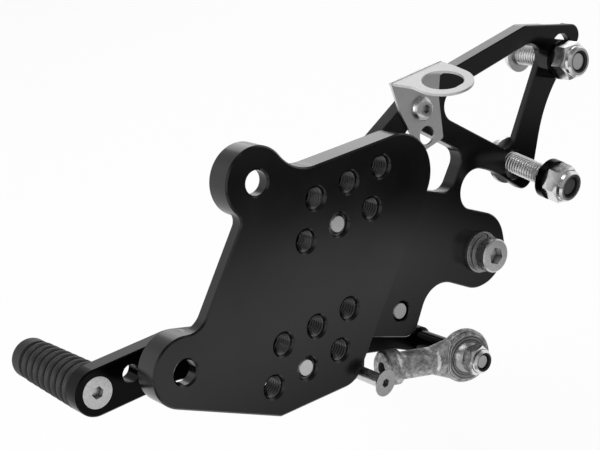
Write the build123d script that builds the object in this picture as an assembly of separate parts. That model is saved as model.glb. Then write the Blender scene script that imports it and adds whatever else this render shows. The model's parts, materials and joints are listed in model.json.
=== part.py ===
from build123d import *
import math
import os

# Brake-side rear set of a motorcycle, seen from the inboard side.
# Row frame: the origin is the centre of the upper ear bore, on the inboard face
# of the mounting plate. +X runs to the rear of the motorcycle, +Y outboard and
# +Z up. All sizes are in millimetres.

# Mounting plate
PLATE_THICKNESS = 9.5
EAR_RADIUS = 12.5
EAR_BORE = 8.6
EAR_CHAMFER = 0.7
LOWER_EAR = (-42.8, -50.0)
UPPER_EAR_TOP_FILLET = 16.0
UPPER_EAR_NECK_FILLET = 4.0
LOWER_EAR_NECK_FILLET = 8.0
PLATE_TOP_LEFT = (5.0, -1.8)
PLATE_TOP_RIGHT = (91.0, -7.4)
PLATE_TOP_RIGHT_RADIUS = 15.5
PLATE_BOTTOM_RIGHT = (22.8, -86.4)
PLATE_BOTTOM_RIGHT_RADIUS = 9.0
PLATE_BOTTOM_CORNER = (-11.0, -83.1)
PLATE_EDGE_CHAMFER = 0.6
RELIEF_WIDTH = 11.0
RELIEF_WALL = 4.7
EAR_COUNTERBORE_RADIUS = 8.2
EAR_WEB = 4.7

# Adjustment holes: two groups of two rows of three, on a 60 degree grid
GRID_PITCH = 15.0
GRID_ANGLE = 240.0
GRID_START = (36.7, -14.1)
GROUP_SPACING = 51.0
TAPPED_RADIUS_M8 = 3.9
TAPPED_MOUTH_RADIUS = 4.7


def grid_point(column, row):
    """Adjustment hole: column -1 to 1, row 0 and 1 of the upper group, 2 and 3 of the lower."""
    along = (row % 2) * GRID_PITCH + (row // 2) * GROUP_SPACING
    angle = math.radians(GRID_ANGLE)
    x = GRID_START[0] + column * GRID_PITCH + along * math.cos(angle)
    z = GRID_START[1] + along * math.sin(angle)
    return (x, z)


PLATE_SCREWS = [grid_point(0, 1), grid_point(0, 3)]
LOWER_SCREW = PLATE_SCREWS[1]

# Carrier plate
CARRIER_THICKNESS = 6.0
CARRIER_EDGE_CHAMFER = 0.4
LEG_WALL = 2.7
LEG_RELIEF_ENDS = [(156.0, -7.0), (121.0, -46.0)]
LEG_RELIEF_WIDTH = 24.0
CARRIER_CORNERS = [
    (82.0, 2.9, 3.0),
    (140.3, 8.2, 4.0),
    (174.0, -1.8, 4.5),
    (144.7, -23.7, 52.0),
    (129.0, -57.2, 4.8),
    (112.0, -40.9, 25.0),
    (94.1, -30.6, 8.3),
    (94.1, -49.0, 6.8),
    (112.3, -59.5, 13.0),
    (112.3, -83.2, 13.8),
    (93.5, -83.2, 13.0),
    (72.9, -69.0, 11.0),
    (59.6, -88.1, 6.0),
    (37.6, -77.7, 3.0),
    (33.5, -91.3, 5.0),
    (22.5, -91.3, 5.0),
    (LOWER_SCREW[0] + 9.3, LOWER_SCREW[1] - 9.24, 5.0),
    (LOWER_SCREW[0] - 10.2, LOWER_SCREW[1] - 10.24, 9.0),
    (LOWER_SCREW[0] - 10.2, LOWER_SCREW[1] + 7.26, 9.0),
    (21.0, -13.0, 9.0),
    (49.0, -12.2, 6.0),
]
TRIANGLE_CORNERS = [(84.2, -4.7, 6.3), (151.6, 1.9, 5.3), (122.7, -37.0, 5.0)]
WINDOW_CORNERS = [(73.5, -6.7, 4.0), (99.5, -28.7, 5.3), (88.9, -40.9, 5.3), (68.0, -30.5, 5.0)]
PLATE_SCREW_CLEARANCE = 8.5

# Slots for the two bolts of the brake master cylinder
SLOT_WIDTH = 9.0
UPPER_SLOT_ENDS = [(158.0, -5.4), (151.2, -8.5)]
LOWER_SLOT_CENTRE = (123.3, -42.4)
LOWER_SLOT_TRAVEL = 2.6
UPPER_BOLT_LENGTH = 30.0
UPPER_BOLT_STANDOFF = 10.3
LOWER_BOLT_LENGTH = 35.0
LOWER_BOLT_DROOP = 11.0
LOWER_BOLT_RISE = 1.4
LOWER_BOLT_STANDOFF = 3.8

# M8 hardware. A tapped wall is drawn near the root of its thread, and a screw's
# threaded length at the root or the middle of its own: scene.py adds the crests.
M8_RADIUS = 4.0
M8_ROOT_RADIUS = 3.4
M8_STUD_RADIUS = 3.6
M8_HEAD_RADIUS = 6.5
M8_LOW_HEAD_HEIGHT = 5.0
M8_HEX = 6.0
M8_BUTTON_RADIUS = 7.0
M8_BUTTON_HEIGHT = 4.4
M8_BUTTON_HEX = 5.0
M8_NUT_FLATS = 13.0
M8_NUT_HEX_HEIGHT = 6.0
M8_NUT_HEIGHT = 8.2
M8_WASHER_RADIUS = 7.6
WIDE_WASHER_RADIUS = 9.0
WIDE_WASHER_BORE = 4.2
WASHER_THICKNESS = 1.6
PEG_WASHER_RADIUS = 8.0
SPRING_WASHER_RADIUS = 7.2
SPRING_WASHER_THICKNESS = 2.0
SPRING_WASHER_SPLIT = 0.8
NUT_OVERHANG = 1.0
LOCK_RING_RATIO = 1.3
LOCK_MOUTH_RATIO = 1.2

# Foot peg, carried by the lobe of the carrier plate
PEG_CENTRE = (98.4, -69.0)
PEG_HUB_RADIUS = 9.5
PEG_HUB_LENGTH = 8.0
PEG_RADIUS = 10.5
PEG_LENGTH = 86.0
PEG_END_RADIUS = 12.5
PEG_END_LENGTH = 4.0
PEG_GROOVES = 14
PEG_GROOVE_DEPTH = 0.8
PEG_GROOVE_WIDTH = 2.2
PEG_HEAD_HEIGHT = 5.5
PEG_THREAD_DEPTH = 16.0
PEG_SCREW_ENGAGEMENT = 12.0

# Reservoir bracket, one folded sheet
SHEET = 1.0
BRACKET_TAB = [
    (69.6, 9.6, 0.0),
    (94.4, 9.6, 0.0),
    (90.6, -2.4, 10.0),
    (89.4, -18.6, 1.2),
    (79.9, -19.9, 1.2),
    (75.2, -13.5, 12.0),
    (71.3, -1.5, 30.0),
]
BRACKET_SCREW = (81.5, -4.2)
BRACKET_HOLE = (81.9, -14.8)
BRACKET_HOLE_RADIUS = 3.5
FLANGE_DROOP = 12.0
RING_CENTRE = (14.5, 11.4)
RING_RADIUS = 11.0
RING_HOLE_RADIUS = 7.6
M5_RADIUS = 2.5
M5_TAPPED_RADIUS = 2.1
M5_BUTTON_RADIUS = 4.75
M5_BUTTON_HEIGHT = 2.75
M5_BUTTON_HEX = 3.0

# Brake pedal
PEDAL_FACE = 24.0
PEDAL_THICKNESS = 7.0
PIVOT = (55.8, -75.4)
PIVOT_BOSS_RADIUS = 11.5
PIVOT_BUSH_RADIUS = 7.0
PIVOT_SHOULDER_RADIUS = 5.0
PIVOT_CLEARANCE = 0.05
PIVOT_AXIAL_GAP = 0.3
TOE_SCREW = (-63.7, -54.4)
SPARE_TOE_HOLE = (-50.2, -53.7)
TOE_HALF_WIDTH = 8.4
TOE_SLOPE = -3.5
PEDAL_BEND_X = -30.1
PEDAL_SLOPE = -19.5
PEDAL_TOP_ROUND = 18.0
PEDAL_BOTTOM_ROUND = 12.0
PEDAL_HEEL_LENGTH = 12.0
PEDAL_HEEL_ROUND = 8.0
ROD_BOLT = (73.9, -100.0)
ROD_EYE_RADIUS = 5.2
PEDAL_EDGE_CHAMFER = 0.5

# Toe peg
M6_RADIUS = 3.0
M6_TAPPED_RADIUS = 2.5
M6_FLAT_HEAD_RADIUS = 5.6
M6_FLAT_HEAD_DEPTH = 3.0
M6_HEX = 4.0
M6_CLEARANCE = 3.3
TOE_CORE_RADIUS = 4.5
TOE_CORE_THREAD = 14.0
TOE_PEG_LENGTH = 42.0
TOE_PEG_INNER_RADIUS = 8.4
TOE_PEG_OUTER_RADIUS = 7.3
TOE_RIB_COUNT = 8
TOE_RIB_PITCH = 4.3
TOE_RIB_DEPTH = 1.3
TOE_GROOVE_WIDTH = 0.8
TOE_CAP_THICKNESS = 6.0
TOE_CAP_ROUND = 2.4

# Rod end on the pedal arm
BALL_RADIUS = 6.9
BALL_WIDTH = 9.0
BALL_GAP = 0.1
BALL_BORE_CLEARANCE = 0.05
BALL_MOUTH_RADIUS = 4.4
RACE_CLEARANCE = 0.07
RACE_RADIUS = 8.4
RACE_WIDTH = 6.0
EYE_RADIUS = 10.3
EYE_WIDTH = 6.4
SHANK_RADIUS = 5.2
COLLAR_RADIUS = 6.7
COLLAR_LENGTH = 7.0
ROD_END_LENGTH = 36.0
NECK_START = 6.0
NECK_END = 15.0
NECK_HALF_HEIGHT = 8.3
ROD_THREAD_DEPTH = 16.0
ROD_RAISE = 14.6
ROD_TILT = 11.0
ROD_END_Y = 0.0
SPACER_RADIUS = 4.1
M6_HEAD_RADIUS = 5.0
M6_HEAD_HEIGHT = 6.0
M6_SOCKET = 5.0
M6_NUT_FLATS = 10.0
M6_NUT_HEX_HEIGHT = 4.4
M6_NUT_HEIGHT = 6.2

# Countersunk screw left hanging in the lower lug of the carrier
LUG_HOLE = (27.6, -85.7)
LUG_HOLE_RADIUS = 3.4
LOOSE_SCREW_LENGTH = 30.0
LOOSE_SCREW_HEAD_RADIUS = 5.0
LOOSE_SCREW_HEAD_DEPTH = 2.7
LOOSE_SCREW_HEAD_Y = -8.0
LOOSE_SCREW_LEAN_X = 5.0
LOOSE_SCREW_LEAN_Z = -5.2

CARRIER_NEAR = PLATE_THICKNESS
CARRIER_FAR = PLATE_THICKNESS + CARRIER_THICKNESS
CARRIER_MIDDLE = PLATE_THICKNESS + CARRIER_THICKNESS / 2
LEG_FAR = PLATE_THICKNESS + LEG_WALL


# Helpers

def outline(corners):
    """Face in the XZ plane from (x, z, radius) corners."""
    points = [(x, z) for x, z, _ in corners]
    return make_face(FilletPolyline(*points, radius=[r for _, _, r in corners], close=True))


def disc(centre, radius):
    return Pos(centre[0], centre[1]) * Circle(radius)


def slab(face, near, thickness):
    """Extrude a face drawn in X and Z from Y = near, outboard."""
    return extrude(Plane.XZ.offset(-near) * face, amount=-thickness)


def rod(centre, radius, near, far):
    """Round bar along Y."""
    return slab(disc(centre, radius), near, far - near)


def turned(profile, centre=(0.0, 0.0), y=0.0):
    """Solid of revolution about Y from (radius, y) points."""
    points = [point for n, point in enumerate(profile) if point != profile[n - 1]]
    face = make_face(Polyline(*points, close=True))
    return Pos(centre[0], y, centre[1]) * revolve(face, axis=Axis.Y)


def mouth(centre, bore, wide, face_y, direction):
    """Conical chamfer tool for a hole whose mouth is at face_y."""
    depth = wide - bore
    over = 0.5
    return turned(
        [
            (0.0, -direction * over),
            (wide + over, -direction * over),
            (bore - over, direction * (depth + over)),
            (0.0, direction * (depth + over)),
        ],
        centre,
        face_y,
    )


def hexagon(flats, near, depth, centre=(0.0, 0.0), turn=0.0):
    shape = Pos(centre[0], centre[1]) * RegularPolygon(flats / 2, 6, major_radius=False, rotation=turn)
    return slab(shape, near, depth)


def edges_at(part, y):
    """Edges that lie in the plane Y = y."""
    return part.edges().filter_by(lambda e: abs(e.bounding_box().min.Y - y) < 1e-4
                                  and abs(e.bounding_box().max.Y - y) < 1e-4)


# Fixed side

def mounting_plate():
    ear_x, ear_z = LOWER_EAR
    heading = math.atan2(ear_z, ear_x)
    bottom_x, bottom_z = PLATE_BOTTOM_CORNER
    reach = math.dist(LOWER_EAR, PLATE_BOTTOM_CORNER)
    down = math.atan2(bottom_z - ear_z, bottom_x - ear_x) - math.acos(EAR_RADIUS / reach)
    tangent = (ear_x + EAR_RADIUS * math.cos(down), ear_z + EAR_RADIUS * math.sin(down))
    body = outline(
        [
            (0.0, 0.0, 0.0),
            (*LOWER_EAR, 0.0),
            (*tangent, 0.0),
            (*PLATE_BOTTOM_CORNER, 0.0),
            (*PLATE_BOTTOM_RIGHT, PLATE_BOTTOM_RIGHT_RADIUS),
            (*PLATE_TOP_RIGHT, PLATE_TOP_RIGHT_RADIUS),
            (*PLATE_TOP_LEFT, 0.0),
        ]
    )
    face = body + disc((0.0, 0.0), EAR_RADIUS) + disc(LOWER_EAR, EAR_RADIUS)
    neck = (EAR_RADIUS * math.cos(heading), EAR_RADIUS * math.sin(heading))
    lower_neck = (ear_x - neck[0], ear_z - neck[1])
    for point, radius in (
        ((EAR_RADIUS, -3.0), UPPER_EAR_TOP_FILLET),
        (neck, UPPER_EAR_NECK_FILLET),
        (lower_neck, LOWER_EAR_NECK_FILLET),
    ):
        corner = face.vertices().sort_by_distance((point[0], point[1], 0))[0]
        face = fillet(corner, radius)
    plate = slab(face, 0.0, PLATE_THICKNESS)
    plate = chamfer(edges_at(plate, 0.0), PLATE_EDGE_CHAMFER)

    # relief on the outboard face, along the line between the ears
    middle = (ear_x / 2, ear_z / 2)
    strip = Pos(*middle) * Rot(Z=math.degrees(heading)) * Rectangle(
        math.dist((0, 0), LOWER_EAR), 2 * RELIEF_WIDTH
    )
    strip = strip - disc((0.0, 0.0), EAR_RADIUS) - disc(LOWER_EAR, EAR_RADIUS)
    plate -= slab(strip, RELIEF_WALL, PLATE_THICKNESS)

    for centre in ((0.0, 0.0), LOWER_EAR):
        plate -= rod(centre, EAR_BORE / 2, -1.0, PLATE_THICKNESS + 1.0)
        plate -= mouth(centre, EAR_BORE / 2, EAR_BORE / 2 + EAR_CHAMFER, 0.0, 1)
        plate -= rod(centre, EAR_COUNTERBORE_RADIUS, EAR_WEB, PLATE_THICKNESS + 1.0)
    for row in range(4):
        for column in (-1, 0, 1):
            centre = grid_point(column, row)
            plate -= rod(centre, TAPPED_RADIUS_M8, -1.0, PLATE_THICKNESS + 1.0)
            plate -= mouth(centre, TAPPED_RADIUS_M8, TAPPED_MOUTH_RADIUS, 0.0, 1)
    return plate


def slot(ends, width):
    """Long hole between two centres, as a face."""
    (x0, z0), (x1, z1) = ends
    length = math.dist(ends[0], ends[1])
    turn = math.degrees(math.atan2(z1 - z0, x1 - x0))
    return Pos((x0 + x1) / 2, (z0 + z1) / 2) * Rot(Z=turn) * SlotCenterToCenter(length, width)


def lower_slot_ends():
    x, z = LOWER_SLOT_CENTRE
    return [(x, z - LOWER_SLOT_TRAVEL / 2), (x, z + LOWER_SLOT_TRAVEL / 2)]


def carrier_plate():
    face = outline(CARRIER_CORNERS) - outline(TRIANGLE_CORNERS) - outline(WINDOW_CORNERS)
    face -= slot(UPPER_SLOT_ENDS, SLOT_WIDTH)
    face -= slot(lower_slot_ends(), SLOT_WIDTH)
    face -= disc(LUG_HOLE, LUG_HOLE_RADIUS)
    face -= disc(PIVOT, TAPPED_RADIUS_M8)
    face -= disc(PEG_CENTRE, PLATE_SCREW_CLEARANCE / 2)
    face -= disc(BRACKET_SCREW, M5_TAPPED_RADIUS)
    for centre in PLATE_SCREWS:
        face -= disc(centre, PLATE_SCREW_CLEARANCE / 2)
    plate = slab(face, CARRIER_NEAR, CARRIER_THICKNESS)
    plate = chamfer(edges_at(plate, CARRIER_NEAR), CARRIER_EDGE_CHAMFER)

    # relief on the outboard face, along the leg that carries the master cylinder
    return plate - slab(slot(LEG_RELIEF_ENDS, LEG_RELIEF_WIDTH), LEG_FAR, CARRIER_THICKNESS)


def socket_screw(centre, under_head, length, radius, thread_radius, thread_length,
                 head_radius, head_height, key, direction, turn=0.0):
    """Socket-head screw along Y; direction +1 has the head outboard of under_head."""
    end_chamfer = 0.6
    flip = direction
    screw = turned(
        [
            (0.0, flip * head_height),
            (head_radius - 0.5, flip * head_height),
            (head_radius, flip * (head_height - 0.5)),
            (head_radius, 0.0),
            (radius, 0.0),
            (radius, -flip * (length - thread_length)),
            (thread_radius, -flip * (length - thread_length)),
            (thread_radius, -flip * (length - end_chamfer)),
            (thread_radius - end_chamfer, -flip * length),
            (0.0, -flip * length),
        ],
        centre,
        under_head,
    )
    top = under_head + flip * head_height
    depth = head_height * 0.55
    near = top - depth if flip > 0 else top
    return screw - hexagon(key, near, depth, centre, turn)


def button_screw(head_radius, head_height, key, radius, length):
    """Button-head screw about Y: its seat is at Y = 0, its head outboard and its tip inboard."""
    crown = 0.45 * head_radius
    rim = 0.15 * head_height
    end_chamfer = 0.5
    sides = Polyline(
        (crown, head_height),
        (0.0, head_height),
        (0.0, -length),
        (radius - end_chamfer, -length),
        (radius, -length + end_chamfer),
        (radius, 0.0),
        (head_radius, 0.0),
        (head_radius, rim),
    )
    dome = ThreePointArc((head_radius, rim), (0.83 * head_radius, 0.7 * head_height), (crown, head_height))
    screw = revolve(make_face([*sides.edges(), dome]), axis=Axis.Y)
    depth = 0.55 * head_height
    return screw - hexagon(key, head_height - depth, depth)


def plate_screw(centre):
    tip = 0.9
    return socket_screw(
        centre, CARRIER_FAR, CARRIER_FAR - tip, M8_RADIUS, M8_ROOT_RADIUS, PLATE_THICKNESS - tip,
        M8_HEAD_RADIUS, M8_LOW_HEAD_HEIGHT, M8_HEX, 1,
    )


def flat_washer(centre, radius, bore, near, thickness):
    return slab(disc(centre, radius) - disc(centre, bore), near, thickness)


def lock_nut(flats, hex_height, height, bore):
    """Self-locking nut about Y, seated at Y = 0 and reaching to Y = -height."""
    corner = flats / math.sqrt(3)
    body = hexagon(flats, -hex_height, hex_height)
    bevel = turned(
        [
            (0.0, 0.0),
            (corner - 0.7, 0.0),
            (corner, -0.5),
            (corner, -hex_height + 1.0),
            (flats / 2 - 0.3, -hex_height),
            (0.0, -hex_height),
        ]
    )
    collar_radius = flats / 2 - 0.5
    collar = turned(
        [
            (0.0, -hex_height + 0.2),
            (collar_radius, -hex_height + 0.2),
            (collar_radius, -height + 0.8),
            (collar_radius - 0.8, -height),
            (0.0, -height),
        ]
    )
    nut = (body & bevel) + collar
    nut -= rod((0, 0), bore, -height - 1.0, 1.0)
    nut -= rod((0, 0), LOCK_RING_RATIO * bore, -height + 0.3, -hex_height + 0.6)
    nut -= rod((0, 0), LOCK_MOUTH_RATIO * bore, -height - 1.0, -height + 0.4)
    return nut


def lock_ring(hex_height, height, bore):
    """Nylon ring inside the nut collar."""
    radius = LOCK_RING_RATIO * bore
    return flat_washer((0, 0), radius, bore, -height + 0.3, height - hex_height + 0.3)


def cylinder_bolt(length):
    """Long M8 button-head bolt about Y, with its head seat at Y = 0 and its tip inboard."""
    return button_screw(M8_BUTTON_RADIUS, M8_BUTTON_HEIGHT, M8_BUTTON_HEX, M8_STUD_RADIUS, length)


def upper_bolt_place():
    x, z = UPPER_SLOT_ENDS[1]
    return Pos(x, CARRIER_FAR + UPPER_BOLT_STANDOFF, z)


def lower_bolt_place():
    x, z = LOWER_SLOT_CENTRE
    middle = Pos(x, CARRIER_MIDDLE, z + LOWER_BOLT_RISE)
    return middle * Rot(X=LOWER_BOLT_DROOP) * Pos(0, LOWER_BOLT_STANDOFF, 0)


def nut_place(bolt_place, length):
    """Seat of the nut of a cylinder bolt; the collar stands past the bolt's tip."""
    return bolt_place * Pos(0, M8_NUT_HEIGHT - NUT_OVERHANG - length, 0)


def cylinder_washer(layer=0):
    """Washer on the outboard side of a cylinder bolt's nut; layer 1 lies on layer 0."""
    near = layer * WASHER_THICKNESS
    return flat_washer((0, 0), M8_WASHER_RADIUS, M8_RADIUS + 0.2, near, WASHER_THICKNESS)


def upper_spacer():
    """Sleeve between the upper bolt's washer and the carrier."""
    near = upper_bolt_place().position.Y - UPPER_BOLT_LENGTH + M8_NUT_HEIGHT - NUT_OVERHANG + WASHER_THICKNESS
    return flat_washer(UPPER_SLOT_ENDS[1], M8_WASHER_RADIUS, M8_RADIUS + 0.2, near, CARRIER_NEAR - near)


def wide_washer():
    """Washer between the lower bolt's head and the thinned leg of the carrier."""
    x, z = LOWER_SLOT_CENTRE
    return flat_washer((x, z + LOWER_BOLT_RISE), WIDE_WASHER_RADIUS, WIDE_WASHER_BORE, LEG_FAR, WASHER_THICKNESS)


def reservoir_bracket():
    near = CARRIER_NEAR - SHEET
    tab = outline(BRACKET_TAB)
    tab -= disc(BRACKET_HOLE, BRACKET_HOLE_RADIUS)
    tab -= disc(BRACKET_SCREW, M5_RADIUS + 0.2)
    tab = slab(tab, near, SHEET)

    # flange, drawn flat at the fold height and then drooped about the fold
    fold_x, fold_z, _ = BRACKET_TAB[0]
    width = BRACKET_TAB[1][0] - fold_x
    ring_u, ring_v = RING_CENTRE
    left = ring_u - RING_RADIUS
    right = ring_u + RING_RADIUS
    flat = [
        (0.0, -SHEET, 0.0),
        (width, -SHEET, 0.0),
        (right, ring_v * 0.4, 4.0),
        (right, ring_v + RING_RADIUS, RING_RADIUS - 0.1),
        (left, ring_v + RING_RADIUS, RING_RADIUS - 0.1),
        (left, ring_v * 0.65, 6.0),
    ]
    flange = outline([(fold_x + u, near - v, radius) for u, v, radius in flat])
    flange -= disc((fold_x + ring_u, near - ring_v), RING_HOLE_RADIUS)
    sheet = Pos(0, 0, fold_z - SHEET) * extrude(Plane.XY * flange, amount=SHEET)
    hinge = Pos(0, CARRIER_NEAR, fold_z)
    sheet = hinge * Rot(X=FLANGE_DROOP) * hinge.inverse() * sheet
    return tab + sheet


def bracket_screw():
    """Button-head M5 screw; the head is inboard of the bracket."""
    seat = CARRIER_NEAR - SHEET
    length = SHEET + CARRIER_THICKNESS - 0.5
    place = Pos(BRACKET_SCREW[0], seat, BRACKET_SCREW[1]) * Rot(X=180) * Rot(Y=10)
    return place * button_screw(M5_BUTTON_RADIUS, M5_BUTTON_HEIGHT, M5_BUTTON_HEX, M5_TAPPED_RADIUS, length)


def foot_peg():
    base = CARRIER_FAR
    hub_end = PEG_HUB_LENGTH
    body_end = PEG_LENGTH - PEG_END_LENGTH
    peg = turned(
        [
            (0.0, 0.0),
            (PEG_HUB_RADIUS, 0.0),
            (PEG_HUB_RADIUS, hub_end - 2.0),
            (PEG_RADIUS, hub_end),
            (PEG_RADIUS, body_end),
            (PEG_END_RADIUS, body_end + 1.0),
            (PEG_END_RADIUS, PEG_LENGTH - 1.0),
            (PEG_END_RADIUS - 1.0, PEG_LENGTH),
            (0.0, PEG_LENGTH),
        ],
        PEG_CENTRE,
        base,
    )
    pitch = (body_end - hub_end) / PEG_GROOVES
    for n in range(PEG_GROOVES):
        start = base + hub_end + (n + 0.5) * pitch - PEG_GROOVE_WIDTH / 2
        ring = disc(PEG_CENTRE, PEG_RADIUS + 1.0) - disc(PEG_CENTRE, PEG_RADIUS - PEG_GROOVE_DEPTH)
        peg -= slab(ring, start, PEG_GROOVE_WIDTH)
    return peg - rod(PEG_CENTRE, TAPPED_RADIUS_M8, base - 1.0, base + PEG_THREAD_DEPTH)


def peg_washer():
    near = CARRIER_NEAR - WASHER_THICKNESS
    return flat_washer(PEG_CENTRE, PEG_WASHER_RADIUS, M8_RADIUS + 0.2, near, WASHER_THICKNESS)


def peg_spring_washer():
    near = CARRIER_NEAR - WASHER_THICKNESS - SPRING_WASHER_THICKNESS
    ring = disc(PEG_CENTRE, SPRING_WASHER_RADIUS) - disc(PEG_CENTRE, M8_RADIUS + 0.15)
    gap = Pos(PEG_CENTRE[0], PEG_CENTRE[1]) * Rot(Z=70) * Pos(SPRING_WASHER_RADIUS, 0)
    ring -= gap * Rectangle(2 * SPRING_WASHER_RADIUS - 2, SPRING_WASHER_SPLIT)
    return slab(ring, near, SPRING_WASHER_THICKNESS)


def peg_screw():
    seat = CARRIER_NEAR - WASHER_THICKNESS - SPRING_WASHER_THICKNESS
    length = CARRIER_FAR - seat + PEG_SCREW_ENGAGEMENT
    return socket_screw(
        PEG_CENTRE, seat, length, M8_RADIUS, M8_ROOT_RADIUS, PEG_SCREW_ENGAGEMENT,
        M8_HEAD_RADIUS, PEG_HEAD_HEIGHT, M8_HEX, -1, 30.0,
    )


def pivot_bolt():
    """Shoulder bolt that screws into the carrier from outboard."""
    shoulder_end = PEDAL_FACE + PEDAL_THICKNESS + PIVOT_AXIAL_GAP
    tip = CARRIER_NEAR + 0.6
    profile = [
        (0.0, tip),
        (M8_ROOT_RADIUS - 0.5, tip),
        (M8_ROOT_RADIUS, tip + 0.5),
        (M8_ROOT_RADIUS, CARRIER_FAR),
        (PIVOT_SHOULDER_RADIUS, CARRIER_FAR),
        (PIVOT_SHOULDER_RADIUS, shoulder_end),
        (PIVOT_BUSH_RADIUS + 1.5, shoulder_end),
        (PIVOT_BUSH_RADIUS + 1.5, shoulder_end + 4.5),
        (PIVOT_BUSH_RADIUS + 1.0, shoulder_end + 5.0),
        (0.0, shoulder_end + 5.0),
    ]
    bolt = turned(profile, PIVOT)
    return bolt - hexagon(M8_HEX, shoulder_end + 2.0, 4.0, PIVOT)


def pivot_spacer():
    """Collar between the carrier and the pedal, round the shoulder bolt."""
    length = PEDAL_FACE - PIVOT_AXIAL_GAP - CARRIER_FAR
    bore = PIVOT_SHOULDER_RADIUS
    return flat_washer(PIVOT, PIVOT_BUSH_RADIUS + 1.5, bore, CARRIER_FAR, length)


def flat_head_screw(head_radius, head_depth, radius, length, key):
    """Countersunk screw about Y: its flat face is at Y = 0, its tip outboard."""
    rim = 0.3
    screw = turned(
        [
            (0.0, 0.0),
            (head_radius, 0.0),
            (head_radius, rim),
            (radius, head_depth),
            (radius, length - 0.5),
            (radius - 0.5, length),
            (0.0, length),
        ]
    )
    return screw - hexagon(key, -0.1, head_depth * 0.75 + 0.1)


def loose_screw():
    place = Pos(LUG_HOLE[0], CARRIER_MIDDLE, LUG_HOLE[1])
    lean = Rot(X=-LOOSE_SCREW_LEAN_Z) * Rot(Z=LOOSE_SCREW_LEAN_X)
    back = LOOSE_SCREW_HEAD_Y - CARRIER_MIDDLE
    screw = flat_head_screw(
        LOOSE_SCREW_HEAD_RADIUS, LOOSE_SCREW_HEAD_DEPTH, M5_RADIUS, LOOSE_SCREW_LENGTH, M5_BUTTON_HEX
    )
    return place * lean * Pos(0, back, 0) * screw


# Pedal

def pedal_outline():
    """Bar of one width that bends behind the toe peg, with its boss and the rod's eye."""
    toe_x, toe_z = TOE_SCREW
    rod_x, rod_z = ROD_BOLT
    front = toe_x - TOE_HALF_WIDTH
    toe_fall = math.tan(math.radians(TOE_SLOPE))
    fall = math.tan(math.radians(PEDAL_SLOPE))
    toe_half = TOE_HALF_WIDTH / math.cos(math.radians(TOE_SLOPE))
    half = TOE_HALF_WIDTH / math.cos(math.radians(PEDAL_SLOPE))

    def toe_edge(x, side):
        return (x, toe_z + side * toe_half + (x - toe_x) * toe_fall)

    def arm_edge(x, side):
        return (x, toe_edge(PEDAL_BEND_X, 1)[1] + (x - PEDAL_BEND_X) * fall + (side - 1) * half)

    low_bend_x = PEDAL_BEND_X + 2 * (toe_half - half) / (toe_fall - fall)
    bar = outline(
        [
            (*toe_edge(front, 1), TOE_HALF_WIDTH - 0.05),
            (*toe_edge(PEDAL_BEND_X, 1), PEDAL_TOP_ROUND),
            (*arm_edge(PIVOT[0] + 2.0, 1), 0.0),
            (rod_x - ROD_EYE_RADIUS / 2, rod_z + ROD_EYE_RADIUS - 0.6, 0.0),
            (rod_x - 1.0, rod_z - ROD_EYE_RADIUS + 0.1, 0.0),
            (*arm_edge(rod_x - PEDAL_HEEL_LENGTH, -1), PEDAL_HEEL_ROUND),
            (*toe_edge(low_bend_x, -1), PEDAL_BOTTOM_ROUND),
            (*toe_edge(front, -1), TOE_HALF_WIDTH - 0.05),
        ]
    )
    return bar + disc(PIVOT, PIVOT_BOSS_RADIUS) + disc(ROD_BOLT, ROD_EYE_RADIUS)


def brake_pedal():
    face = pedal_outline() - disc(PIVOT, PIVOT_BUSH_RADIUS) - disc(ROD_BOLT, M6_RADIUS)
    face -= disc(TOE_SCREW, M6_CLEARANCE)
    face -= disc(SPARE_TOE_HOLE, M6_CLEARANCE)
    pedal = slab(face, PEDAL_FACE, PEDAL_THICKNESS)
    outer = pedal.faces().filter_by(Axis.Y)
    rim = ShapeList([edge for side in outer for edge in side.outer_wire().edges()])
    pedal = chamfer(rim, PEDAL_EDGE_CHAMFER)
    head_room = M6_FLAT_HEAD_RADIUS + 0.25
    return pedal - turned(
        [
            (0.0, -1.0),
            (head_room, -1.0),
            (head_room, 0.35),
            (M6_CLEARANCE, M6_FLAT_HEAD_DEPTH + 0.1),
            (0.0, M6_FLAT_HEAD_DEPTH + 0.1),
        ],
        TOE_SCREW,
        PEDAL_FACE,
    )


def pivot_bush():
    """Bearing bush pressed into the pedal boss."""
    bore = PIVOT_SHOULDER_RADIUS + PIVOT_CLEARANCE
    return flat_washer(PIVOT, PIVOT_BUSH_RADIUS, bore, PEDAL_FACE, PEDAL_THICKNESS)


def toe_screw():
    place = Pos(TOE_SCREW[0], PEDAL_FACE + 0.15, TOE_SCREW[1])
    head = flat_head_screw(
        M6_FLAT_HEAD_RADIUS, M6_FLAT_HEAD_DEPTH, M6_TAPPED_RADIUS, PEDAL_THICKNESS + 12.0, M6_HEX
    )
    return place * head


def toe_core():
    far = PEDAL_FACE + PEDAL_THICKNESS
    core = rod(TOE_SCREW, TOE_CORE_RADIUS, far, far + TOE_PEG_LENGTH - TOE_CAP_THICKNESS)
    return core - rod(TOE_SCREW, M6_TAPPED_RADIUS, far - 1.0, far + TOE_CORE_THREAD)


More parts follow.
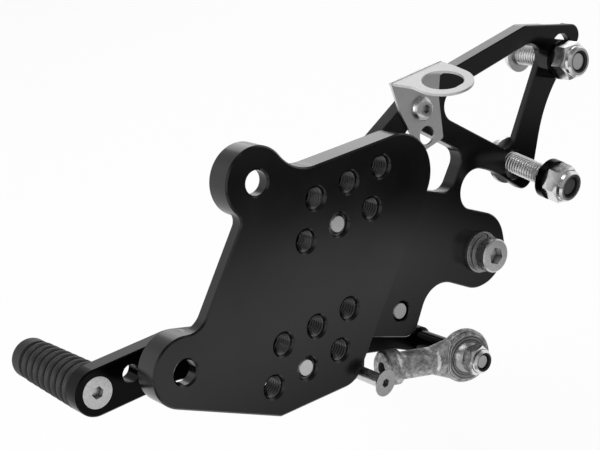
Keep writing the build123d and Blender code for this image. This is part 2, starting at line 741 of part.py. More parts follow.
def toe_rubber():
    """Ribbed sleeve that tapers outboard, closed at its outer end."""
    taper = (TOE_PEG_OUTER_RADIUS - TOE_PEG_INNER_RADIUS) / TOE_PEG_LENGTH
    width = TOE_RIB_PITCH - TOE_GROOVE_WIDTH
    ends = []
    ribs = []
    for n in range(TOE_RIB_COUNT):
        start = n * TOE_RIB_PITCH
        crest = TOE_PEG_INNER_RADIUS + taper * start
        root = crest - TOE_RIB_DEPTH
        ribs.append(ThreePointArc((root, start), (crest, start + width / 2), (root, start + width)))
        ends += [(root, start), (root, start + width)]
    grooves = [Line(one, two) for one, two in zip(ends[1:-1:2], ends[2::2])]
    end = TOE_PEG_OUTER_RADIUS
    bore_end = TOE_PEG_LENGTH - TOE_CAP_THICKNESS
    cap = Polyline(
        ends[-1],
        (ends[-1][0], TOE_RIB_COUNT * TOE_RIB_PITCH),
        (end, TOE_RIB_COUNT * TOE_RIB_PITCH + 0.6),
        (end, TOE_PEG_LENGTH - TOE_CAP_ROUND),
    )
    corner = end - TOE_CAP_ROUND * (1 - math.sqrt(0.5)), TOE_PEG_LENGTH - TOE_CAP_ROUND * (1 - math.sqrt(0.5))
    dome = ThreePointArc((end, TOE_PEG_LENGTH - TOE_CAP_ROUND), corner, (end - TOE_CAP_ROUND, TOE_PEG_LENGTH))
    inside = Polyline(
        (end - TOE_CAP_ROUND, TOE_PEG_LENGTH),
        (0.0, TOE_PEG_LENGTH),
        (0.0, bore_end),
        (TOE_CORE_RADIUS, bore_end),
        (TOE_CORE_RADIUS, 0.0),
        ends[0],
    )
    face = make_face([*ribs, *grooves, *cap.edges(), dome, *inside.edges()])
    return Pos(TOE_SCREW[0], PEDAL_FACE + PEDAL_THICKNESS, TOE_SCREW[1]) * revolve(face, axis=Axis.Y)


def rod_bolt():
    seat = PEDAL_FACE + PEDAL_THICKNESS
    nut_face = ROD_END_Y - BALL_WIDTH / 2 - BALL_GAP
    length = seat - nut_face + M6_NUT_HEIGHT - NUT_OVERHANG
    return socket_screw(
        ROD_BOLT, seat, length, M6_RADIUS, M6_RADIUS, 0.0,
        M6_HEAD_RADIUS, M6_HEAD_HEIGHT, M6_SOCKET, 1,
    )


def rod_spacer():
    near = ROD_END_Y + BALL_WIDTH / 2 + BALL_GAP
    return flat_washer(ROD_BOLT, SPACER_RADIUS, M6_RADIUS, near, PEDAL_FACE - near)


def rod_nut_place():
    return Pos(ROD_BOLT[0], ROD_END_Y - BALL_WIDTH / 2 - BALL_GAP, ROD_BOLT[1])


# Rod end

def rod_frame():
    return Pos(ROD_BOLT[0], ROD_END_Y, ROD_BOLT[1]) * Rot(Y=ROD_RAISE)


def rod_ball():
    half = BALL_WIDTH / 2
    ball = Sphere(BALL_RADIUS) & rod((0, 0), BALL_RADIUS, -half, half)
    bore = M6_RADIUS + BALL_BORE_CLEARANCE
    ball -= rod((0, 0), bore, -BALL_WIDTH, BALL_WIDTH)
    ball -= mouth((0, 0), bore, BALL_MOUTH_RADIUS, -half, 1)
    ball -= mouth((0, 0), bore, BALL_MOUTH_RADIUS, half, -1)
    return rod_frame() * ball


def rod_race():
    race = rod((0, 0), RACE_RADIUS, -RACE_WIDTH / 2, RACE_WIDTH / 2)
    race -= Sphere(BALL_RADIUS + RACE_CLEARANCE)
    return rod_frame() * Rot(Z=-ROD_TILT) * race


def rod_housing():
    half = EYE_WIDTH / 2
    eye = turned(
        [
            (0.0, -half),
            (EYE_RADIUS - 2.2, -half),
            (EYE_RADIUS - 0.8, -half + 0.7),
            (EYE_RADIUS, -half + 2.2),
            (EYE_RADIUS, half - 2.2),
            (EYE_RADIUS - 0.8, half - 0.7),
            (EYE_RADIUS - 2.2, half),
            (0.0, half),
        ]
    )
    shank = Rot(Y=-90) * Cylinder(
        SHANK_RADIUS, ROD_END_LENGTH - NECK_END, align=(Align.CENTER, Align.CENTER, Align.MIN)
    )
    shank = Pos(-NECK_END, 0, 0) * shank
    collar = Rot(Y=-90) * Cylinder(
        COLLAR_RADIUS, COLLAR_LENGTH, align=(Align.CENTER, Align.CENTER, Align.MIN)
    )
    collar = chamfer(collar.edges().filter_by(GeomType.CIRCLE), 0.8)
    collar = Pos(-(ROD_END_LENGTH - COLLAR_LENGTH), 0, 0) * collar
    neck_near = Plane(origin=(-NECK_START, 0, 0), x_dir=(0, 1, 0), z_dir=(-1, 0, 0))
    neck_far = Plane(origin=(-NECK_END, 0, 0), x_dir=(0, 1, 0), z_dir=(-1, 0, 0))
    neck = loft([neck_near * Ellipse(half, NECK_HALF_HEIGHT), neck_far * Circle(SHANK_RADIUS)])
    housing = eye + neck + shank + collar
    housing -= rod((0, 0), RACE_RADIUS, -half - 1.0, half + 1.0)
    bore = Rot(Y=-90) * Cylinder(
        M6_TAPPED_RADIUS, ROD_THREAD_DEPTH + 1.0, align=(Align.CENTER, Align.CENTER, Align.MIN)
    )
    housing -= Pos(-(ROD_END_LENGTH - ROD_THREAD_DEPTH), 0, 0) * bore
    return rod_frame() * Rot(Z=-ROD_TILT) * housing


# Nodes

def build():
    upper_nut = nut_place(upper_bolt_place(), UPPER_BOLT_LENGTH)
    lower_nut = nut_place(lower_bolt_place(), LOWER_BOLT_LENGTH)
    m8_nut = lock_nut(M8_NUT_FLATS, M8_NUT_HEX_HEIGHT, M8_NUT_HEIGHT, M8_STUD_RADIUS)
    m8_ring = lock_ring(M8_NUT_HEX_HEIGHT, M8_NUT_HEIGHT, M8_STUD_RADIUS)
    m6_nut = lock_nut(M6_NUT_FLATS, M6_NUT_HEX_HEIGHT, M6_NUT_HEIGHT, M6_RADIUS)
    m6_ring = lock_ring(M6_NUT_HEX_HEIGHT, M6_NUT_HEIGHT, M6_RADIUS)
    return {
        "mounting_plate": mounting_plate(),
        "carrier_plate": carrier_plate(),
        "plate_screw_upper": plate_screw(PLATE_SCREWS[0]),
        "plate_screw_lower": plate_screw(PLATE_SCREWS[1]),
        "reservoir_bracket": reservoir_bracket(),
        "bracket_screw": bracket_screw(),
        "cylinder_bolt_upper": upper_bolt_place() * cylinder_bolt(UPPER_BOLT_LENGTH),
        "cylinder_washer_upper": upper_nut * cylinder_washer(),
        "cylinder_spacer_upper": upper_spacer(),
        "cylinder_nut_upper": upper_nut * m8_nut,
        "cylinder_nut_ring_upper": upper_nut * m8_ring,
        "cylinder_bolt_lower": lower_bolt_place() * cylinder_bolt(LOWER_BOLT_LENGTH),
        "cylinder_washer_lower": lower_nut * cylinder_washer(),
        "cylinder_washer_lower_second": lower_nut * cylinder_washer(1),
        "cylinder_wide_washer": wide_washer(),
        "cylinder_nut_lower": lower_nut * m8_nut,
        "cylinder_nut_ring_lower": lower_nut * m8_ring,
        "foot_peg": foot_peg(),
        "foot_peg_screw": peg_screw(),
        "foot_peg_washer": peg_washer(),
        "foot_peg_spring_washer": peg_spring_washer(),
        "pedal_pivot_bolt": pivot_bolt(),
        "pedal_spacer": pivot_spacer(),
        "loose_countersunk_screw": loose_screw(),
        "brake_pedal": brake_pedal(),
        "pedal_bush": pivot_bush(),
        "toe_peg_core": toe_core(),
        "toe_peg_rubber": toe_rubber(),
        "toe_peg_screw": toe_screw(),
        "rod_bolt": rod_bolt(),
        "rod_spacer": rod_spacer(),
        "rod_nut": rod_nut_place() * m6_nut,
        "rod_nut_ring": rod_nut_place() * m6_ring,
        "rod_end_ball": rod_ball(),
        "rod_end_race": rod_race(),
        "rod_end_housing": rod_housing(),
    }


def main():
    os.makedirs("parts", exist_ok=True)
    for name, shape in build().items():
        solids = shape.solids()
        solid = solids[0] if len(solids) == 1 else Compound(solids)
        export_step(solid, f"parts/{name}.step")


main()
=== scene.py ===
# %% [markdown]
# # Dressing a motorcycle rear set
#
# The real object is a stack of milled aluminium plates, anodised black, held together
# with bright screws. The solids already have its shape. This lesson gives each of them
# the finish of the real metal or rubber, cuts the threads that a solid model leaves
# plain, and lights the whole for a plain white studio picture.

# %% Load the solids
import json
import math

import bmesh
import bpy
from mathutils import Matrix, Vector


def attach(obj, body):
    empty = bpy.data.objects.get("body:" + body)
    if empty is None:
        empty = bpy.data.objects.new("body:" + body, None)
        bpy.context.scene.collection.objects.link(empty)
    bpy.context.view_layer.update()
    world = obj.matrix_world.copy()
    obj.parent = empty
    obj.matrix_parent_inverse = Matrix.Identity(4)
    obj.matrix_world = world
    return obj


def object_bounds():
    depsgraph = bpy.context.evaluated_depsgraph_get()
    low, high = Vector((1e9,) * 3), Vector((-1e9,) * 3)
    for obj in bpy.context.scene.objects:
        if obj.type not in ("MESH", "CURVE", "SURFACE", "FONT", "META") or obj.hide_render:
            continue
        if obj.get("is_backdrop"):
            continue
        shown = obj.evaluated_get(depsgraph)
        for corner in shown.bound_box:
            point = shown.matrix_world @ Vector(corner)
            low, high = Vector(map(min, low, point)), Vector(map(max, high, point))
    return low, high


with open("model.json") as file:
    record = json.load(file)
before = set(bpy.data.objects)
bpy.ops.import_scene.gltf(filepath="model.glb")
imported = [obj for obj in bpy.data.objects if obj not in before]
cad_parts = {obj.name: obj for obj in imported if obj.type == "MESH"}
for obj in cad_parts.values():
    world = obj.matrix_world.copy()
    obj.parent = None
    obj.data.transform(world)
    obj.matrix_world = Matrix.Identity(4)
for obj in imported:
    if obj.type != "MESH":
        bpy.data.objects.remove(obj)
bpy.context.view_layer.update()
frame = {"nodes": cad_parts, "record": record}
print("nodes:", len(frame["nodes"]))

# %% [markdown]
# Every size below is a real one in millimetres, but Blender works in metres. One small
# function turns millimetres into a vector in metres, so the rest of the script can use
# the numbers from a drawing. Colours are written as on a screen, in sRGB hex, and a
# second function turns them into the linear values that a shader wants.

# %% Millimetres and colours
MM = 0.001


def mm(x, y, z):
    """A place in metres from millimetres."""
    return Vector((x, y, z)) * MM


def linear(hex_colour):
    """Linear colour with alpha from an sRGB hex value such as #1a2b3c."""
    channels = [int(hex_colour[n:n + 2], 16) / 255 for n in (1, 3, 5)]
    mixed = [c / 12.92 if c <= 0.04045 else ((c + 0.055) / 1.055) ** 2.4 for c in channels]
    return (*mixed, 1.0)


print("a screen grey of #808080 is", round(linear("#808080")[0], 3), "in linear light")

# %% [markdown]
# A material is a small network of nodes. Blender's own calls for that are long, so one
# helper adds a node, sets what is given for it, and links an input wherever the value
# is another node's socket. An input goes by its name, or by its number where two share
# a name. A second helper starts a material, and a third joins a shader to its output.

# %% Node helpers
def add(owner, kind, inputs=None, **settings):
    """Adds a node to a material or a world, with its settings and its values or links."""
    tree = owner.node_tree
    made = tree.nodes.new("ShaderNode" + kind)
    for name, value in settings.items():
        setattr(made, name, value)
    for name, value in (inputs or {}).items():
        if isinstance(value, bpy.types.NodeSocket):
            tree.links.new(value, made.inputs[name])
        else:
            made.inputs[name].default_value = value
    return made


def start(name):
    """A new empty node material."""
    material = bpy.data.materials.new(name)
    material.use_nodes = True
    material.node_tree.nodes.clear()
    return material


def finish_with(material, shader):
    """Joins a shader to the material's output."""
    add(material, "OutputMaterial", {"Surface": shader.outputs[0]})
    return material


# %% [markdown]
# ## Black anodised aluminium
#
# The plates and the pedal are milled from aluminium plate and dyed black while the
# oxide is grown. The dyed oxide is a clear, glassy layer, so it reflects as a
# dielectric does: hardly at all face on, and strongly at a low angle, which is why the
# top edges look grey in the studio and the faces look black. Metallic therefore stays
# at 0. A milling cutter leaves fine lines round the plate's edge, parallel to its
# faces, so the streaks vary with Y and hardly at all along the edge.
#
# A photo of scratched metal could be wrapped round each plate, but it would have to be
# unwrapped first. Noise whose scale comes from a size in millimetres fits every solid
# as it is. The lines and the grain of the real oxide are finer than a pixel, so they
# are drawn a few times coarser here, to show at all. Most of a noise lies between 0.3
# and 0.7, so that span is what gets stretched over the range of gloss.

# %% Anodised aluminium
MILLING_STEP = 0.6
STREAK_LENGTH = 50.0
MILLING_DEPTH = 0.04
GRAIN_SIZE = 0.5
GRAIN_DEPTH = 0.05
PATCH_SIZE = 1000 / 45
NOISE_SPAN = (0.3, 0.7)
OXIDE_GLOSS = (-0.03, 0.05)


def anodised_aluminium(name, colour, roughness, specular):
    """Milled plate under dyed oxide: fine lines, a grain, and slow patches of gloss."""
    material = start(name)
    where = add(material, "TexCoord").outputs["Object"]
    along = 1 / (STREAK_LENGTH * MM)
    across = 1 / (MILLING_STEP * MM)
    streaks = add(material, "Mapping", {"Vector": where, "Scale": (along, across, along)})
    lines = add(material, "TexNoise", {
        "Vector": streaks.outputs[0], "Scale": 1.0, "Detail": 3.0,
    })
    grain = add(material, "TexNoise", {
        "Vector": where, "Scale": 1 / (GRAIN_SIZE * MM), "Detail": 2.0,
    })
    cloud = add(material, "TexNoise", {
        "Vector": where, "Scale": 1 / (PATCH_SIZE * MM), "Detail": 3.0,
    })
    gloss = add(material, "MapRange", {
        "Value": cloud.outputs[0], "From Min": NOISE_SPAN[0], "From Max": NOISE_SPAN[1],
        "To Min": roughness + OXIDE_GLOSS[0], "To Max": roughness + OXIDE_GLOSS[1],
    })
    fine = add(material, "Bump", {
        "Height": grain.outputs[0], "Strength": 0.06, "Distance": GRAIN_DEPTH * MM,
    })
    milled = add(material, "Bump", {
        "Height": lines.outputs[0], "Strength": 0.25, "Distance": MILLING_DEPTH * MM,
        "Normal": fine.outputs[0],
    })
    shader = add(material, "BsdfPrincipled", {
        "Base Color": linear(colour),
        "Metallic": 0.0,
        "IOR": 1.5,
        "Roughness": gloss.outputs[0],
        "Specular IOR Level": specular,
        "Normal": milled.outputs[0],
    })
    return finish_with(material, shader)


# %% [markdown]
# The same oxide is made in three copies. The plates give the grey sheen of the top
# edges. The pedal and the rod's spacer get a copy that reflects less, which paints the
# deeper shade they sit in into their finish. The tapped holes' threads get a copy with
# a lighter colour, the full reflection and a sharper gloss, which paints in the light
# that their ridges catch.

# %% The three anodised finishes
black_anodised = anodised_aluminium("black anodised aluminium", "#030303", 0.2, 0.43)
# painted shade: a copy that reflects less, so the pedal and the spacer look darker
shaded_anodised = anodised_aluminium("black anodised aluminium with painted shade", "#030303", 0.2, 0.09)
# painted light: a copy with a lighter colour and a stronger reflection for the threads
lit_anodised_thread = anodised_aluminium("black anodised thread with painted light", "#101010", 0.16, 1.0)
print("lines", MILLING_STEP, "mm apart, patches of gloss", round(PATCH_SIZE, 1), "mm wide")
for made in (black_anodised, shaded_anodised, lit_anodised_thread):
    print("made", made.name)

# %% [markdown]
# ## Painted shade in recesses of steel
#
# A socket or the foot of a thread lies in shade, and that shade is painted into the
# colour of the steel. Ambient occlusion finds those places from the shape alone: it
# measures how open the surface is within a short reach, and darkens the colour there.

# %% Painted shade helper
RECESS_REACH = 2.2
RECESS_OPENNESS = (0.25, 0.85)


def painted_recess_shade(material, colour, darkest):
    """Painted shade: a colour that falls to the share darkest of itself where the surface lies
    deep.
    """
    depth = add(material, "AmbientOcclusion", {"Distance": RECESS_REACH * MM}, samples=8)
    share = add(material, "MapRange", {
        "Value": depth.outputs["AO"],
        "From Min": RECESS_OPENNESS[0], "From Max": RECESS_OPENNESS[1],
        "To Min": darkest, "To Max": 1.0,
    })
    shaded_colour = add(material, "VectorMath", {0: linear(colour)[:3], 3: share.outputs[0]},
                 operation="SCALE")
    return shaded_colour.outputs[0]


print("recesses are felt within", RECESS_REACH, "mm")

# %% [markdown]
# ## Bright and dark steel
#
# The screws and nuts are steel: some zinc plated, some stainless, and the washers are
# blackened in hot oil. A metal reflects its own colour at every angle, so metallic is
# 1 and the IOR stays at its default. What tells them apart is how bright and how rough
# the surface is, and the faint unevenness that turning and tumbling leave. One function
# with those few numbers therefore makes them all, and a bump from the same noise as the
# gloss keeps the two in step, as they are on a real surface. A narrower span of the
# noise than before gives the gloss clearer patches.

# %% Plated and tumbled steel
PLATING_DEPTH = 0.05
CLOSE_SPAN = (0.35, 0.65)


def plated_steel(name, colour, roughness, spread, ripple, ripple_size=1.2, darkest=0.22):
    """Steel whose gloss varies by spread, with ripples that are ripple_size wide."""
    material = start(name)
    where = add(material, "TexCoord").outputs["Object"]
    cloud = add(material, "TexNoise", {
        "Vector": where, "Scale": 1 / (ripple_size * MM), "Detail": 4.0,
    })
    gloss = add(material, "MapRange", {
        "Value": cloud.outputs[0], "From Min": CLOSE_SPAN[0], "From Max": CLOSE_SPAN[1],
        "To Min": roughness - spread, "To Max": roughness + spread,
    })
    bump = add(material, "Bump", {
        "Height": cloud.outputs[0], "Strength": ripple, "Distance": PLATING_DEPTH * MM,
    })
    shader = add(material, "BsdfPrincipled", {
        # painted shade darkens the colour in sockets and at the roots of threads
        "Base Color": painted_recess_shade(material, colour, darkest),
        "Metallic": 1.0,
        "Roughness": gloss.outputs[0],
        "Normal": bump.outputs[0],
    })
    return finish_with(material, shader)


# %% [markdown]
# The nuts are bright zinc with a soft ripple. The two long bolts are zinc too, but
# duller and more even. The pivot bolt's end is the dullest of the stainless ones, and
# the ball of the rod end is ground smooth, so it has hardly any ripple.

# %% The steel finishes
# every steel below has painted shade in its recesses, down to its darkest share
zinc_steel = plated_steel("zinc plated steel", "#dedede", 0.2, 0.06, 0.3, ripple_size=2.2)
zinc_bolt = plated_steel("zinc plated bolt", "#e6e6e6", 0.34, 0.05, 0.1, darkest=0.3)
stainless = plated_steel("tumbled stainless steel", "#cbcbcb", 0.3, 0.05, 0.15)
dull_stainless = plated_steel("dull stainless steel", "#b6b6b6", 0.32, 0.06, 0.2)
polished_steel = plated_steel("polished bearing steel", "#a2a2a2", 0.36, 0.03, 0.04)
turned_steel = plated_steel("turned bearing steel", "#8a8a8a", 0.35, 0.05, 0.1)
black_steel = plated_steel("blackened steel", "#0a0a0a", 0.3, 0.05, 0.2, darkest=0.6)
for made in (zinc_steel, zinc_bolt, stainless, dull_stainless, polished_steel, turned_steel,
             black_steel):
    print("made", made.name)

# %% [markdown]
# ## Brushed stainless sheet
#
# The reservoir bracket is folded from thin sheet whose rolled finish was brushed along
# its length. Anisotropic shading could stretch its highlights, but it needs a direction
# on every face. Noise that is stretched along X and packed closely across it gives the
# same hairlines on both legs of the fold. Real hairlines are too fine to show, so these
# are a quarter of a millimetre apart.

# %% Brushed sheet
HAIRLINE = 0.25
HAIRLINE_LENGTH = 12.0
HAIRLINE_DEPTH = 0.03
BRUSHED_SPREAD = 0.08


def brushed_sheet(name, colour, roughness):
    """Sheet metal with hairlines along X."""
    material = start(name)
    where = add(material, "TexCoord").outputs["Object"]
    along = 1 / (HAIRLINE_LENGTH * MM)
    across = 1 / (HAIRLINE * MM)
    stretched = add(material, "Mapping", {"Vector": where, "Scale": (along, across, across)})
    hairs = add(material, "TexNoise", {
        "Vector": stretched.outputs[0], "Scale": 1.0, "Detail": 5.0,
    })
    gloss = add(material, "MapRange", {
        "Value": hairs.outputs[0], "From Min": NOISE_SPAN[0], "From Max": NOISE_SPAN[1],
        "To Min": roughness - BRUSHED_SPREAD, "To Max": roughness + BRUSHED_SPREAD,
    })
    bump = add(material, "Bump", {
        "Height": hairs.outputs[0], "Strength": 0.35, "Distance": HAIRLINE_DEPTH * MM,
    })
    shader = add(material, "BsdfPrincipled", {
        "Base Color": linear(colour),
        "Metallic": 1.0,
        "Roughness": gloss.outputs[0],
        "Normal": bump.outputs[0],
    })
    return finish_with(material, shader)


brushed_stainless = brushed_sheet("brushed stainless sheet", "#d4d4d4", 0.5)
print("made", brushed_stainless.name, "with hairlines", HAIRLINE, "mm apart")

# %% [markdown]
# ## Where the rod end lies
#
# Two marks of the rod end belong to certain places on it: the rings round its eye and
# the scars on its neck. The rod end leans in two directions, so its marks are placed in
# a frame of its own, with X along its shank from the eye, Y across its faces and Z up.
# An empty object could carry that frame, but the Mapping node's texture mode does the
# same inside the material. Object coordinates move with the piece, so the marks stay in
# place when the pedal or the rod end turns.

# %% Frame of the rod end
ROD_END_PLACE = mm(73.9, 0.0, -100.0)
ROD_RAISE = math.radians(14.6)
ROD_TILT = math.radians(11.0)


def rod_end_frame(material, where):
    """X, Y and Z in the rod end's own frame, as separate values."""
    turn = Matrix.Rotation(ROD_RAISE, 3, "Y") @ Matrix.Rotation(-ROD_TILT, 3, "Z")
    local = add(material, "Mapping", {
        "Vector": where, "Location": ROD_END_PLACE, "Rotation": turn.to_euler(),
    }, vector_type="TEXTURE")
    return add(material, "SeparateXYZ", {0: local.outputs[0]})


print("the rod end is raised", round(math.degrees(ROD_RAISE), 1), "degrees")

# %% [markdown]
# ## Rings on the eye
#
# The eye's two faces were turned on a lathe, and the tool left rings round the bore. A
# ring is a wave of the distance from the eye's axis, and two masks keep it on the
# faces: one for how far out it lies, one for how far from the middle plane. Cutting the
# rings into the mesh would take thousands of faces for a tenth of a millimetre, so a
# bump shows them.

# %% Turned rings
RING_STEP = 1.15
EYE_FACE = 1.2
EYE_REACH = 10.0
RING_FADE = 0.4


def turned_rings(material, parts):
    """Height of the rings that a lathe tool left on the eye's two faces."""
    flat = add(material, "CombineXYZ", {"X": parts.outputs["X"], "Z": parts.outputs["Z"]})
    length = add(material, "VectorMath", {0: flat.outputs[0]}, operation="LENGTH")
    radius = length.outputs["Value"]
    phase = add(material, "Math", {0: radius, 1: 2 * math.pi / (RING_STEP * MM)},
                operation="MULTIPLY")
    wave = add(material, "Math", {0: phase.outputs[0]}, operation="SINE")
    side = add(material, "Math", {0: parts.outputs["Y"]}, operation="ABSOLUTE")
    on_face = add(material, "Math", {0: side.outputs[0], 1: EYE_FACE * MM},
                  operation="GREATER_THAN")
    near = add(material, "MapRange", {
        "Value": radius,
        "From Min": EYE_REACH * MM, "From Max": (EYE_REACH + RING_FADE) * MM,
        "To Min": 1.0, "To Max": 0.0,
    })
    mask = add(material, "Math", {0: on_face.outputs[0], 1: near.outputs[0]},
               operation="MULTIPLY")
    height = add(material, "Math", {0: wave.outputs[0], 1: mask.outputs[0]},
                 operation="MULTIPLY")
    return height.outputs[0]


print("rings", RING_STEP, "mm apart, out to", EYE_REACH, "mm")

# %% [markdown]
# ## Scars on the neck
#
# The forging was knocked in a drum with others, and a few blows on its neck and shank
# left bright, ragged scars. Each is an oval: its centre in X and Z and its half sizes,
# in the rod end's frame. Noise added to the distance from the centre makes the edge
# ragged. Ovals in a list are easier to place than a painted mask, and need no file.

# %% Scars
SCAR_RAG = 1.0
RAG_SHARE = 2.0
SCAR_EDGE = (1.7, 2.1)
SCARS = (
    (-14.0, 0.5, 0.9, 3.8),
    (-16.7, 5.4, 1.2, 0.9),
    (-31.4, 4.1, 0.8, 1.8),
    (-27.9, 4.8, 0.8, 0.7),
)


def oval(material, parts, x, z, half_x, half_z):
    """Distance from an oval's centre, as a share of its half sizes."""
    pair = {}
    for axis, centre, half in (("X", x, half_x), ("Z", z, half_z)):
        pair[axis] = add(material, "MapRange", {
            "Value": parts.outputs[axis],
            "From Min": centre * MM, "From Max": (centre + half) * MM,
            "To Min": 0.0, "To Max": 1.0,
        }, clamp=False).outputs[0]
    flat = add(material, "CombineXYZ", {"X": pair["X"], "Y": pair["Z"]})
    return add(material, "VectorMath", {0: flat.outputs[0]}, operation="LENGTH").outputs["Value"]


def scars(material, where, parts):
    """1 where the forging was knocked bright, 0 elsewhere."""
    ragged = add(material, "TexNoise", {
        "Vector": where, "Scale": 1 / (SCAR_RAG * MM), "Detail": 4.0,
    })
    total = None
    for scar in SCARS:
        reach = oval(material, parts, *scar)
        rough = add(material, "Math", {0: ragged.outputs[0], 1: RAG_SHARE, 2: reach},
                    operation="MULTIPLY_ADD")
        bright = add(material, "MapRange", {
            "Value": rough.outputs[0], "From Min": SCAR_EDGE[0], "From Max": SCAR_EDGE[1],
            "To Min": 1.0, "To Max": 0.0,
        }).outputs[0]
        if total is None:
            total = bright
        else:
            total = add(material, "Math", {0: total, 1: bright}, operation="MAXIMUM").outputs[0]
    return total


print(len(SCARS), "scars")

# %% [markdown]
# ## Forged steel
#
# The rod end's housing is a steel forging, cleaned but not machined except at its eye.
# Its skin is dull grey, pitted and blotchy. A sculpted skin could show that, but the
# pits are far smaller than a face of the mesh. So a broad noise makes the blotches,
# which change both the colour and the gloss, and a fine one makes the pits.

# %% The forging's colour
BLOTCH_STOPS = (0.36, 0.66)


def forging_colour(material, blotch, worn, dark, light, scar):
    """Dark to light with the blotches, and the scar's colour where it is worn."""
    ramp = add(material, "ValToRGB", {"Fac": blotch.outputs[0]})
    for stop, position, colour in zip(ramp.color_ramp.elements, BLOTCH_STOPS, (dark, light)):
        stop.position = position
        stop.color = linear(colour)
    tone = add(material, "Mix", {0: worn, 6: ramp.outputs[0], 7: linear(scar)}, data_type="RGBA")
    return tone.outputs[2]


print("the skin goes from dark to light between", BLOTCH_STOPS[0], "and", BLOTCH_STOPS[1])

# %% [markdown]
# Three bumps share the skin: rings, blotches and pits. Each Bump node takes the normal
# of the one before, so they add up, the coarse ones first. A dark blotch is rougher
# than a light one, because it still holds some of the scale from the forge.

# %% Forged steel
BLOTCH_SIZE = 1.6
BLOTCH_GLOSS = (0.62, 0.4)
BLOTCH_DEPTH = 0.12
PIT_SIZE = 0.4
PIT_DEPTH = 0.1
RING_DEPTH = 0.2


def forged_steel(name, dark, light, scar):
    """A forging's blotchy, pitted skin, with rings on its eye and scars on its neck."""
    material = start(name)
    where = add(material, "TexCoord").outputs["Object"]
    parts = rod_end_frame(material, where)
    rings = add(material, "Bump", {
        "Height": turned_rings(material, parts), "Strength": 1.0, "Distance": RING_DEPTH * MM,
    })
    worn = scars(material, where, parts)
    blotch = add(material, "TexNoise", {
        "Vector": where, "Scale": 1 / (BLOTCH_SIZE * MM), "Detail": 6.0, "Roughness": 0.65,
    })
    pits = add(material, "TexNoise", {
        "Vector": where, "Scale": 1 / (PIT_SIZE * MM), "Detail": 3.0,
    })
    gloss = add(material, "MapRange", {
        "Value": blotch.outputs[0], "From Min": CLOSE_SPAN[0], "From Max": CLOSE_SPAN[1],
        "To Min": BLOTCH_GLOSS[0], "To Max": BLOTCH_GLOSS[1],
    })
    low = add(material, "Bump", {
        "Height": blotch.outputs[0], "Strength": 0.5, "Distance": BLOTCH_DEPTH * MM,
        "Normal": rings.outputs[0],
    })
    bump = add(material, "Bump", {
        "Height": pits.outputs[0], "Strength": 0.4, "Distance": PIT_DEPTH * MM,
        "Normal": low.outputs[0],
    })
    shader = add(material, "BsdfPrincipled", {
        "Base Color": forging_colour(material, blotch, worn, dark, light, scar),
        "Metallic": 1.0,
        "Roughness": gloss.outputs[0],
        "Normal": bump.outputs[0],
    })
    return finish_with(material, shader)


forging = forged_steel("forged steel", "#808080", "#c6c6c6", "#f4f4f4")
print("made", forging.name, "with pits of", PIT_SIZE, "mm")

# %% [markdown]
# The race that holds the ball was turned in the same cut as the eye's faces, so it
# carries the same rings in a cleaner steel. The gap round the ball gets painted shade
# from the recess helper.

# %% Ringed steel
RACE_DARKEST = 0.15


def ringed_steel(name, colour, roughness):
    """Turned steel with the lathe's rings left on its face."""
    material = start(name)
    where = add(material, "TexCoord").outputs["Object"]
    parts = rod_end_frame(material, where)
    bump = add(material, "Bump", {
        "Height": turned_rings(material, parts), "Strength": 1.0, "Distance": RING_DEPTH * MM,
    })
    shader = add(material, "BsdfPrincipled", {
        # painted shade in the gap round the ball, down to RACE_DARKEST of the colour
        "Base Color": painted_recess_shade(material, colour, RACE_DARKEST),
        "Metallic": 1.0,
        "Roughness": roughness,
        "Normal": bump.outputs[0],
    })
    return finish_with(material, shader)


bearing_race = ringed_steel("turned bearing race", "#8a8a8a", 0.38)
print("made", bearing_race.name)

# %% [markdown]
# ## Rubber, nylon and bronze
#
# The toe peg's ribbed sleeve is moulded black rubber: matt, slightly grey where it
# catches the light. The lock nuts hold a ring of dark nylon, moulded as well, and the
# bushes are bronze that was pressed from powder and sintered. All three are small, and
# each could have a material of its own, but one fine noise on the roughness and a low
# bump are enough to keep them from looking like plain plastic.

# %% Soft and small finishes
GRAINED_SPREAD = 0.05


def fine_grained(name, colour, metallic, ior, roughness, grain, depth):
    """A plain surface with a grain, its size and depth in millimetres."""
    material = start(name)
    where = add(material, "TexCoord").outputs["Object"]
    noise = add(material, "TexNoise", {
        "Vector": where, "Scale": 1 / (grain * MM), "Detail": 3.0,
    })
    gloss = add(material, "MapRange", {
        "Value": noise.outputs[0], "From Min": NOISE_SPAN[0], "From Max": NOISE_SPAN[1],
        "To Min": roughness - GRAINED_SPREAD, "To Max": roughness + GRAINED_SPREAD,
    })
    bump = add(material, "Bump", {
        "Height": noise.outputs[0], "Strength": 0.4, "Distance": depth * MM,
    })
    shader = add(material, "BsdfPrincipled", {
        "Base Color": linear(colour),
        "Metallic": metallic,
        "IOR": ior,
        "Roughness": gloss.outputs[0],
        "Normal": bump.outputs[0],
    })
    return finish_with(material, shader)


rubber = fine_grained("moulded rubber", "#040404", 0.0, 1.46, 0.55, 0.4, 0.04)
nylon = fine_grained("dark nylon", "#1c1c1d", 0.0, 1.53, 0.4, 0.6, 0.03)
bronze = fine_grained("sintered bronze", "#9a7848", 1.0, 1.5, 0.4, 0.3, 0.03)
for made in (rubber, nylon, bronze):
    print("made", made.name)

# %% [markdown]
# ## Giving the solids their finish
#
# Each solid keeps its shape and gets one of the finishes above. A list of solids by
# name would do, but the part's record already gives each one a slot, so the first table
# goes by slot, and a new solid in a known slot needs no new line. A few solids look
# unlike the rest of their slot in the photograph, and the second table names those.

